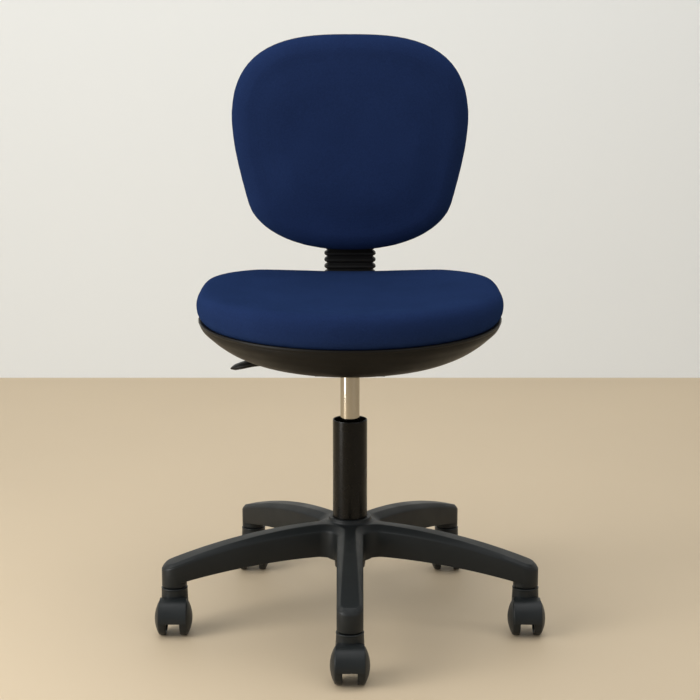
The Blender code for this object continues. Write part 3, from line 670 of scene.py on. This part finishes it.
def threaded(rows, steps):
    """Rows of numbers joined by a smooth curve through each column."""
    out = []
    for k in range(len(rows) - 1):
        before, here = rows[max(k - 1, 0)], rows[k]
        there, after = rows[k + 1], rows[min(k + 2, len(rows) - 1)]
        for i in range(steps):
            t = i / steps
            out.append(tuple(0.5 * (2 * b + (c - a) * t + (2 * a - 5 * b + 4 * c - d) * t * t
                                    + (3 * b - a - 3 * c + d) * t ** 3)
                             for a, b, c, d in zip(before, here, there, after)))
    out.append(tuple(rows[-1]))
    return out


def seat_top(x, y):
    """Height of the sat-on surface: dished, climbing to the sides and the rear, falling at the front."""
    side = min(1.4, (x / 0.15) ** 2)
    rear = max(0.0, (y + 0.02) / 0.18) ** 2
    front = max(0.0, (-0.085 - y) / 0.125) ** 2
    return 0.4704 + 0.0050 * side + 0.0055 * rear - 0.0045 * front


def seat_pad():
    """The upholstered pad: a closed form, then swollen by cloth pressure."""
    side = threaded(((0.30, 0.4206, 0), (0.60, 0.4206, 0), (0.86, 0.4206, 0), (0.918, 0.4225, 0.4),
                     (0.952, 0.4255, 0.95), (0.969, 0.4290, 1.0), (0.982, 0.4307, 1.0),
                     (0.994, 0.4342, 0.97), (1.0040, 0.4395, 0.92), (1.0090, 0.4460, 0.86),
                     (1.0105, 0.4525, 0.78), (1.0085, 0.4583, 0.68), (1.0020, 0.4637, 0.58),
                     (0.9905, 0.4684, 0.50), (0.9735, 0.4720, 0.43), (0.9510, 0.4740, 0.38),
                     (0.9260, 0.4750, 0.35), (0.9000, 0.4752, 0.33)), 2)
    rings = [seat_ring(*row) for row in side]
    for point in (point for ring in rings for point in ring):
        corner = min(1.0, (point.x / 0.14) ** 2) * min(1.0, max(0.0, (point.y + 0.02) / 0.12))
        point.z += 0.0048 * corner * min(1.0, max(0.0, (point.z - 0.442) / 0.030))
    edge = rings[-1]
    for scale in (0.87, 0.84, 0.80, 0.75, 0.68, 0.58, 0.46, 0.32, 0.18, 0.06):
        ring = seat_ring(scale, 0.4745)
        for point, rim in zip(ring, edge):
            share = min(1.0, (rim.xy.length - point.xy.length) / 0.050)
            share = share * share * (3 - 2 * share)
            point.z = rim.z + (seat_top(point.x, point.y) - rim.z) * share
        rings.append(ring)
    pad = piece("seat_pad", *skinned(rings), "navy_fabric")
    inflate(pad, Vector((0, 0, -1)), 0.4300, SEAM_RISE)
    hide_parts("seat_cushion")
    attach(pad, "seat")


def inflate(pad, underside, seam, climb=0.0):
    """Swell a pad with cloth pressure while its underside up to the seam is held.

    The seam is a distance against the underside's direction, and may climb towards the rear.
    """
    remesh = pad.modifiers.new("even", "REMESH")
    remesh.mode = "VOXEL"
    remesh.voxel_size = CLOTH_VOXEL
    remesh.use_smooth_shade = True
    settle(pad)
    start = np.array([v.co for v in pad.data.vertices], float)
    part = np.clip((start[:, 1] + SEAT_Y) / SEAT_Y, 0, 1)
    held = start @ -np.array(underside) < seam + climb * part
    group = pad.vertex_groups.new(name="held")
    group.add([int(i) for i in np.nonzero(held)[0]], 1.0, "REPLACE")
    cloth = pad.modifiers.new("pressure", "CLOTH")
    cloth.settings.quality = 6
    cloth.settings.mass = 0.4
    cloth.settings.tension_stiffness = 25
    cloth.settings.compression_stiffness = 25
    cloth.settings.bending_stiffness = 4.0
    cloth.settings.use_pressure = True
    cloth.settings.uniform_pressure_force = 4.0
    cloth.settings.vertex_group_mass = "held"
    cloth.settings.effector_weights.gravity = 0
    cloth.point_cache.frame_start = 1
    cloth.point_cache.frame_end = CLOTH_FRAMES
    for number in range(1, CLOTH_FRAMES + 1):
        bpy.context.scene.frame_set(number)
    graph = bpy.context.evaluated_depsgraph_get()
    swollen = bpy.data.meshes.new_from_object(pad.evaluated_get(graph))
    end = np.array([v.co for v in swollen.vertices], float)
    bpy.context.scene.frame_set(1)
    pad.modifiers.clear()
    shift = tightened(pad.data, end - start, 40)
    shift *= CLOTH_SWELL / np.percentile(np.linalg.norm(shift, axis=1), 98)
    pad.data.vertices.foreach_set("co", (start + shift).astype(np.float32).ravel())
    pad.data.update()
    smooth = pad.modifiers.new("relax", "SMOOTH")
    smooth.factor = 0.5
    smooth.iterations = 5
    fine = pad.modifiers.new("fine", "SUBSURF")
    fine.levels = 1
    fine.render_levels = 1
    settle(pad)
    shade(pad, 180.0)


def settle(obj):
    """Apply an object's modifiers, keeping its material."""
    look = obj.data.materials[0]
    graph = bpy.context.evaluated_depsgraph_get()
    mesh = bpy.data.meshes.new_from_object(obj.evaluated_get(graph))
    obj.modifiers.clear()
    obj.data = mesh
    if not mesh.materials:
        mesh.materials.append(look)


def tightened(mesh, shift, rounds):
    """Average each point's movement with its neighbours', as a cover pulled tight irons out creases."""
    edges = np.empty(len(mesh.edges) * 2, np.int64)
    mesh.edges.foreach_get("vertices", edges)
    a, b = edges.reshape(-1, 2).T
    count = len(mesh.vertices)
    degree = np.bincount(a, minlength=count) + np.bincount(b, minlength=count)
    for _ in range(rounds):
        total = np.empty_like(shift)
        for axis in range(3):
            total[:, axis] = np.bincount(a, shift[b, axis], count) + np.bincount(b, shift[a, axis], count)
        shift = 0.4 * shift + 0.6 * total / np.maximum(degree, 1)[:, None]
    return shift


def seat_tray():
    """Moulded under-shell: lip round the pad, deep rounded side, pocket beneath for the mechanism."""
    bowl = threaded(((0.9890, 0.4225, 1.00, 0), (0.9790, 0.4165, 0.99, 0.006),
                     (0.9570, 0.4103, 0.96, 0.018), (0.9330, 0.4040, 0.94, 0.029),
                     (0.9020, 0.3978, 0.92, 0.040), (0.8690, 0.3919, 0.91, 0.054),
                     (0.8300, 0.3868, 0.90, 0.068), (0.7800, 0.3822, 0.90, 0.080),
                     (0.7200, 0.3792, 0.90, 0.086), (0.6600, 0.3788, 0.90, 0.050),
                     (0.6020, 0.3787, 0.90, 0.008)), 3)
    lip = [(0.9720, 0.4262, 1.0), (0.9730, 0.4283, 1.0), (0.9760, 0.4290, 1.0), (0.9860, 0.4291, 1.0),
           (0.9935, 0.4288, 1.0), (0.9960, 0.4278, 1.0), (0.9960, 0.4262, 1.0), (0.9940, 0.4252, 1.0),
           (0.9905, 0.4246, 1.0), (0.9895, 0.4238, 1.0)]
    pocket = [(0.5930, 0.3790, 0.90), (0.5880, 0.3800, 0.86), (0.5790, 0.3960, 0.30),
              (0.5740, 0.4032, 0.05), (0.5700, 0.4043), (0.5600, 0.4045), (0.4500, 0.4045),
              (0.2000, 0.4045)]
    inside = [(0.2000, 0.4074), (0.5560, 0.4075), (0.5740, 0.3817, 0.90), (0.7120, 0.3824, 0.90, 0.086),
              (0.8140, 0.3895, 0.90, 0.068), (0.8880, 0.3998, 0.92, 0.040),
              (0.9420, 0.4116, 0.96, 0.018), (0.9720, 0.4225, 1.0)]
    rings = [seat_ring(*row) for row in lip + bowl + pocket + inside]
    tray = piece("seat_tray", *skinned(rings, loop=True), "shell_plastic", "seat", 40.0)
    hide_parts("seat_shell")


# ------------------------------------------------------------------ lever

def swept(path, widths, heights, corners, power=2.0):
    """Rounded section along an XZ path. Half widths and heights are read along its length."""
    rings = []
    count = len(path)
    for k, point in enumerate(path):
        along = (path[min(k + 1, count - 1)] - path[max(k - 1, 0)]).normalized()
        up = Vector((-along.z, 0, along.x))
        if up.z < 0:
            up = -up
        t = k / (count - 1) * (len(widths) - 1)
        i = min(int(t), len(widths) - 2)
        half_width = widths[i] + (widths[i + 1] - widths[i]) * (t - i)
        half_height = heights[i] + (heights[i + 1] - heights[i]) * (t - i)
        ring = []
        for j in range(corners):
            angle = 2 * math.pi * j / corners
            c, s = math.cos(angle), math.sin(angle)
            across = half_width * math.copysign(abs(c) ** (2 / power), c)
            raised = half_height * math.copysign(abs(s) ** (2 / power), s)
            ring.append(point + Vector((0, across, 0)) + up * raised)
        rings.append(ring)
    return skinned(rings)


def height_lever():
    """Bent steel rocker on its pivot, with a flat moulded blade on the end."""
    bends = ((0.0055, 0, 0.3935), (-0.018, 0, 0.3932), (-0.030, 0, 0.3890), (-0.040, 0, 0.3830),
             (-0.055, 0, 0.3770), (-0.090, 0, 0.3732), (-0.128, 0, 0.3734))
    radii = (0.0034, 0.0036, 0.0041, 0.0041)
    arm = swept([Vector(p) for p in threaded(bends, 6)], radii, radii, 24)
    barrel = turned(rounded_profile(((0.0028, -0.0075), (0.0064, -0.0075), (0.0064, 0.0075),
                                     (0.0028, 0.0075)), 0.0005, 2), 40, (-0.034, 0, 0.384), "Y")
    rod = piece("lever_arm", *merged(arm, barrel), "steel", "lever")
    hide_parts("height_lever")
    droop = ((-0.1082, 0, 0.3733), (-0.1200, 0, 0.3736), (-0.1300, 0, 0.3736), (-0.1400, 0, 0.3726),
             (-0.1500, 0, 0.3704), (-0.1600, 0, 0.3678), (-0.1722, 0, 0.3642))
    path = [Vector(p) for p in threaded(droop, 8)]
    widths = (0.0060, 0.0080, 0.0112, 0.0142, 0.0160, 0.0168, 0.0168, 0.0160, 0.0142, 0.0108, 0.0010)
    heights = (0.0048, 0.0048, 0.0048, 0.0048, 0.0048, 0.0048, 0.0047, 0.0046, 0.0044, 0.0038, 0.0008)
    blade = piece("lever_blade", *swept(path, widths, heights, 40, 2.4), "shell_plastic", "lever", 60.0)
    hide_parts("lever_paddle")


# ------------------------------------------------------------------ bar, sleeve, knobs

def bar_stations(start, top, step):
    """Points and outward normals along the middle of the bent bar, in YZ, and their whole length."""
    out = []
    straight = BAR_BACK - BAR_BEND - start
    quarter = math.pi / 2 * BAR_BEND
    total = straight + quarter + (top - BAR_LOW - BAR_BEND)
    count = max(2, round(total / step))
    for k in range(count + 1):
        s = total * k / count
        if s < straight:
            out.append((start + s, BAR_LOW, 0.0, 1.0))
        elif s < straight + quarter:
            angle = (s - straight) / BAR_BEND
            normal = (-math.sin(angle), math.cos(angle))
            out.append((BAR_BACK - BAR_BEND - BAR_BEND * normal[0],
                        BAR_LOW + BAR_BEND - BAR_BEND * normal[1], *normal))
        else:
            out.append((BAR_BACK, BAR_LOW + BAR_BEND + s - straight - quarter, -1.0, 0.0))
    return out, total


def soft_box(half_x, half_depth, radius):
    """Rectangle with round corners as (x, depth) pairs."""
    steps = 5
    out = []
    for cx, cy, start in ((half_x, half_depth, 0), (-half_x, half_depth, 90),
                          (-half_x, -half_depth, 180), (half_x, -half_depth, 270)):
        for i in range(steps + 1):
            a = math.radians(start + 90 * i / steps)
            out.append((cx - math.copysign(radius, cx) + radius * math.cos(a),
                        cy - math.copysign(radius, cy) + radius * math.sin(a)))
    return out


def rubber_sleeve():
    """Pleated rubber boot over the bar. Its top end reaches up to the backrest."""
    stations, total = bar_stations(0.105, 0.528, PLEAT / 10)
    rings = []
    for k, (y, z, ny, nz) in enumerate(stations):
        s = total * k / (len(stations) - 1)
        wave = 0.5 + 0.5 * math.cos(2 * math.pi * s / PLEAT)
        swell = wave ** 0.6
        section = soft_box(0.0350 + 0.0053 * swell, 0.0105 + 0.0045 * swell, 0.0045 + 0.0025 * swell)
        rings.append([Vector((x, y + ny * d, z + nz * d)) for x, d in section])
    inner = []
    bore = soft_box(0.0325, 0.0060, 0.0010)
    for y, z, ny, nz in reversed(stations[::10] + [stations[-1]]):
        inner.append([Vector((x, y + ny * d, z + nz * d)) for x, d in bore])
    sleeve = piece("rubber_boot", *skinned(rings + inner, loop=True), "black_rubber", None, 60.0)
    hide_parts("bellows")
    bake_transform(sleeve)


def star_knob(name, lobes, radius, head, stem, centre, axis, body, node):
    """Hand knob with rounded lobes, a domed face and a plain stem."""
    turn = {"Z": lambda a, r, h: Vector((r * math.cos(a), r * math.sin(a), h)),
            "Y": lambda a, r, h: Vector((r * math.cos(a), h, r * math.sin(a)))}[axis]
    low, high = head
    depth = high - low
    rings = []
    levels = ((0.30, 0.0), (0.78, 0.0), (0.90, 0.03), (0.97, 0.10), (1.0, 0.20), (1.0, 0.72), (0.975, 0.86),
              (0.92, 0.95), (0.82, 0.99), (0.60, 1.0), (0.56, 0.975), (0.30, 0.965), (0.08, 0.965))
    for scale, part in levels:
        ring = []
        for i in range(lobes * 16):
            a = 2 * math.pi * i / (lobes * 16)
            lobe = 0.075 * min(1.0, max(0.0, (scale - 0.55) / 0.3))
            edge = radius * scale * (1 - lobe + lobe * math.cos(lobes * a))
            ring.append(Vector(centre) + turn(a, edge, low + depth * part))
        rings.append(ring)
    shaft = turned(((0, stem[0]), (0.0037, stem[0]), (0.0040, stem[0] + 0.0005), (0.0040, stem[1]),
                    (0, stem[1])), 28, centre, axis)
    knob = piece(name, *merged(skinned(rings), shaft), "shell_plastic", body, 45.0)
    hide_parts(node)


# ------------------------------------------------------------------ backrest

def back_point(angle):
    """Outline of the back at full size: wide squarish top, rounder bottom."""
    half_height = (BACK_TOP - BACK_LOW) / 2
    up = math.sin(angle) > 0
    power = 2.79 if up else 2.26
    height = BACK_TOP - BACK_WIDEST if up else BACK_WIDEST - BACK_LOW
    out = reach(angle, BACK_X, height, power)
    z = BACK_WIDEST + out * math.sin(angle)
    return out * math.cos(angle) * (1 + BACK_FLARE * (z - BACK_WIDEST) / half_height), z


def back_ring(scale, y):
    middle = (BACK_TOP + BACK_LOW) / 2
    ring = []
    for i in range(RING_POINTS):
        x, z = back_point(2 * math.pi * (i + 0.5) / RING_POINTS)
        ring.append(Vector((x * scale, y, middle + (z - middle) * scale)))
    return ring


def back_front(x, z):
    """Depth of the pad's front: hollowed from side to side, fuller at the small of the back."""
    lumbar = 0.0035 * math.exp(-(((z - 0.610) / 0.075) ** 2)) * math.exp(-((x / 0.14) ** 2))
    return 0.1662 - lumbar - 0.0025 * (x / 0.16) ** 2


def back_pad():
    """The upholstered back: flat rear, rounded side, hollowed front, then swollen by cloth pressure."""
    rings = []
    for scale, y in ((0.30, 0.2238), (0.60, 0.2238), (0.86, 0.2238), (0.915, 0.2215), (0.945, 0.2160),
                     (0.965, 0.2117), (0.980, 0.2098)):
        rings.append(back_ring(scale, y))
    for k in range(1, 15):
        t = k / 14
        angle = math.radians(90 * t)
        scale = 0.984 + 0.0085 * math.sin(math.pi * min(1, t * 1.6)) - 0.170 * (1 - math.cos(angle)) ** 1.35
        rings.append(back_ring(scale, 0.2085 - 0.0395 * math.sin(angle) ** 0.95))
    for scale in (0.76, 0.68, 0.57, 0.44, 0.30, 0.16, 0.06):
        rings.append(back_ring(scale, 0.1675))
    inside = len(rings) - 7
    edge = rings[inside - 1]
    for ring in rings[inside:]:
        for point, rim in zip(ring, edge):
            gap = Vector((rim.x - point.x, rim.z - point.z)).length
            share = min(1.0, gap / 0.045)
            share = share * share * (3 - 2 * share)
            point.y = rim.y + (back_front(point.x, point.z) - rim.y) * share
    pad = piece("back_pad", *skinned(rings), "navy_fabric")
    inflate(pad, Vector((0, 1, 0)), -0.2100)
    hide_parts("back_cushion")
    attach(pad, "backrest")


def back_cover():
    """Moulded rear cover with a lip, a raised field, a notch for the bar and a knob hole."""
    lip = ((0.966, 0.2140), (0.967, 0.2121), (0.971, 0.2112), (0.979, 0.2110), (0.985, 0.2115),
           (0.988, 0.2127), (0.989, 0.2150))
    side = ((0.988, 0.2200), (0.984, 0.2270), (0.976, 0.2335), (0.963, 0.2393), (0.944, 0.2443),
            (0.918, 0.2487), (0.885, 0.2523), (0.845, 0.2552), (0.795, 0.2574), (0.735, 0.2588))
    field = ((0.720, 0.2594), (0.706, 0.2604), (0.690, 0.2608), (0.560, 0.2615), (0.400, 0.2619),
             (0.200, 0.2620))
    inside = ((0.200, 0.2591), (0.656, 0.2580), (0.830, 0.2531), (0.908, 0.2466), (0.950, 0.2358),
              (0.964, 0.2220))
    shell = tool(skinned([back_ring(*row) for row in lip + side + field + inside], loop=True))
    bm = bmesh.new()
    bm.from_mesh(shell.data)
    bmesh.ops.remove_doubles(bm, verts=bm.verts, dist=0.00001)
    bm.to_mesh(shell.data)
    bm.free()
    notch = tool(brick((-0.0425, 0.2000, 0.490), (0.0425, 0.2590, 0.540)))
    shell = combined(shell, notch, "DIFFERENCE")
    hole = turned(((0, 0.25), (0.0052, 0.25), (0.0052, 0.28), (0, 0.28)), 40, (0, 0, 0.600), "Y")
    shell = combined(shell, tool(hole), "DIFFERENCE")
    shell.name = "back_cover"
    shell.data.materials.clear()
    shell.data.materials.append(LOOKS["shell_plastic"])
    shade(shell, 35.0)
    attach(shell, "backrest")
    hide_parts("back_shell")


# ------------------------------------------------------------------ carried-over pieces

def dress_nodes():
    """Procedural finishes for the CAD pieces that show as they are."""
    slots = {row["node"]: row["material_slot"] for row in frame["record"]["subparts"]}
    for name, node in frame["nodes"].items():
        node.data.materials.clear()
        node.data.materials.append(LOOKS[slots[name]])


# ------------------------------------------------------------------ stage, light, camera

def one_sided(look):
    """Let a wall be seen through from behind."""
    mix = look.nodes.new("ShaderNodeMixShader")
    look.links.new(look.nodes.new("ShaderNodeNewGeometry").outputs["Backfacing"], mix.inputs[0])
    look.links.new(look.shader.outputs[0], mix.inputs[1])
    look.links.new(look.nodes.new("ShaderNodeBsdfTransparent").outputs[0], mix.inputs[2])
    look.links.new(mix.outputs[0], look.nodes["Material Output"].inputs[0])


def stage():
    """Pale floor up to a plain wall."""
    floor_look = Look("floor", (0.585, 0.470, 0.320), 0.60)
    floor_look.tint(floor_look.noise(1.5, 2.0), 0.985, 1.015)
    wall_look = Look("wall", (0.82, 0.84, 0.83), 0.9)
    one_sided(wall_look)
    left = (-ROOM_HALF, WALL_Y, 0)
    right = (ROOM_HALF, WALL_Y, 0)
    for name, corners, look in (
            ("floor", ((-ROOM_HALF, -ROOM_HALF, 0), (ROOM_HALF, -ROOM_HALF, 0), right, left), floor_look),
            ("wall", (left, right, (ROOM_HALF, WALL_Y, WALL_HEIGHT), (-ROOM_HALF, WALL_Y, WALL_HEIGHT)),
             wall_look)):
        mesh = bpy.data.meshes.new(name)
        mesh.from_pydata(corners, [], [(0, 1, 2, 3)])
        obj = bpy.data.objects.new(name, mesh)
        bpy.context.scene.collection.objects.link(obj)
        mesh.materials.append(look.material)


def area_light(name, position, target, size, power, colour=(1, 1, 1)):
    light = bpy.data.lights.new(name, "AREA")
    light.shape = "RECTANGLE"
    light.size, light.size_y = size
    light.energy = power
    light.color = colour
    obj = bpy.data.objects.new(name, light)
    bpy.context.scene.collection.objects.link(obj)
    obj.visible_camera = False
    obj.location = position
    obj.rotation_euler = (Vector(target) - Vector(position)).to_track_quat("-Z", "Y").to_euler()


def lights():
    world = bpy.data.worlds.new("studio")
    bpy.context.scene.world = world
    world.use_nodes = True
    background = world.node_tree.nodes["Background"]
    background.inputs["Color"].default_value = (0.95, 0.97, 1.0, 1)
    background.inputs["Strength"].default_value = 0.42
    area_light("window", (-2.6, -1.2, 1.9), (0, 0, 0.5), (2.4, 2.0), 52, (1.0, 0.99, 0.97))
    area_light("overhead", (0.3, -0.3, 3.0), (0, 0.2, 0), (3.0, 3.0), 30)
    area_light("fill", (2.4, -2.2, 1.3), (0, 0, 0.5), (1.8, 1.8), 8)
    area_light("kicker", (-1.15, -0.62, 0.42), (0, 0, 0.22), (0.40, 0.80), 5.5)
    area_light("wall_wash", (0, 0.2, 3.2), (0, 1.6, 1.4), (4.0, 0.8), 18)


def camera():
    data = bpy.data.cameras.new("camera")
    data.lens = 83.4
    data.sensor_width = 36
    obj = bpy.data.objects.new("camera", data)
    bpy.context.scene.collection.objects.link(obj)
    obj.location = (0, -2.293, 0.821)
    obj.rotation_euler = (math.radians(90 - 10.61), 0, 0)
    bpy.context.scene.camera = obj
    bpy.context.scene.view_settings.view_transform = "Standard"


camera()
dress_nodes()
star_base()
gas_column()
casters()
seat_pad()
seat_tray()
height_lever()
rubber_sleeve()
star_knob("depth_handle", 6, 0.016, (0.3375, 0.3545), (0.3500, 0.3612), (0, 0.0775, 0), "Z",
          "depth_clamp", "depth_knob")
star_knob("height_handle", 6, 0.021, (0.2655, 0.3040), (0.2340, 0.2700), (0, 0, 0.600), "Y",
          "height_clamp", "height_knob")
back_pad()
back_cover()
stage()
lights()
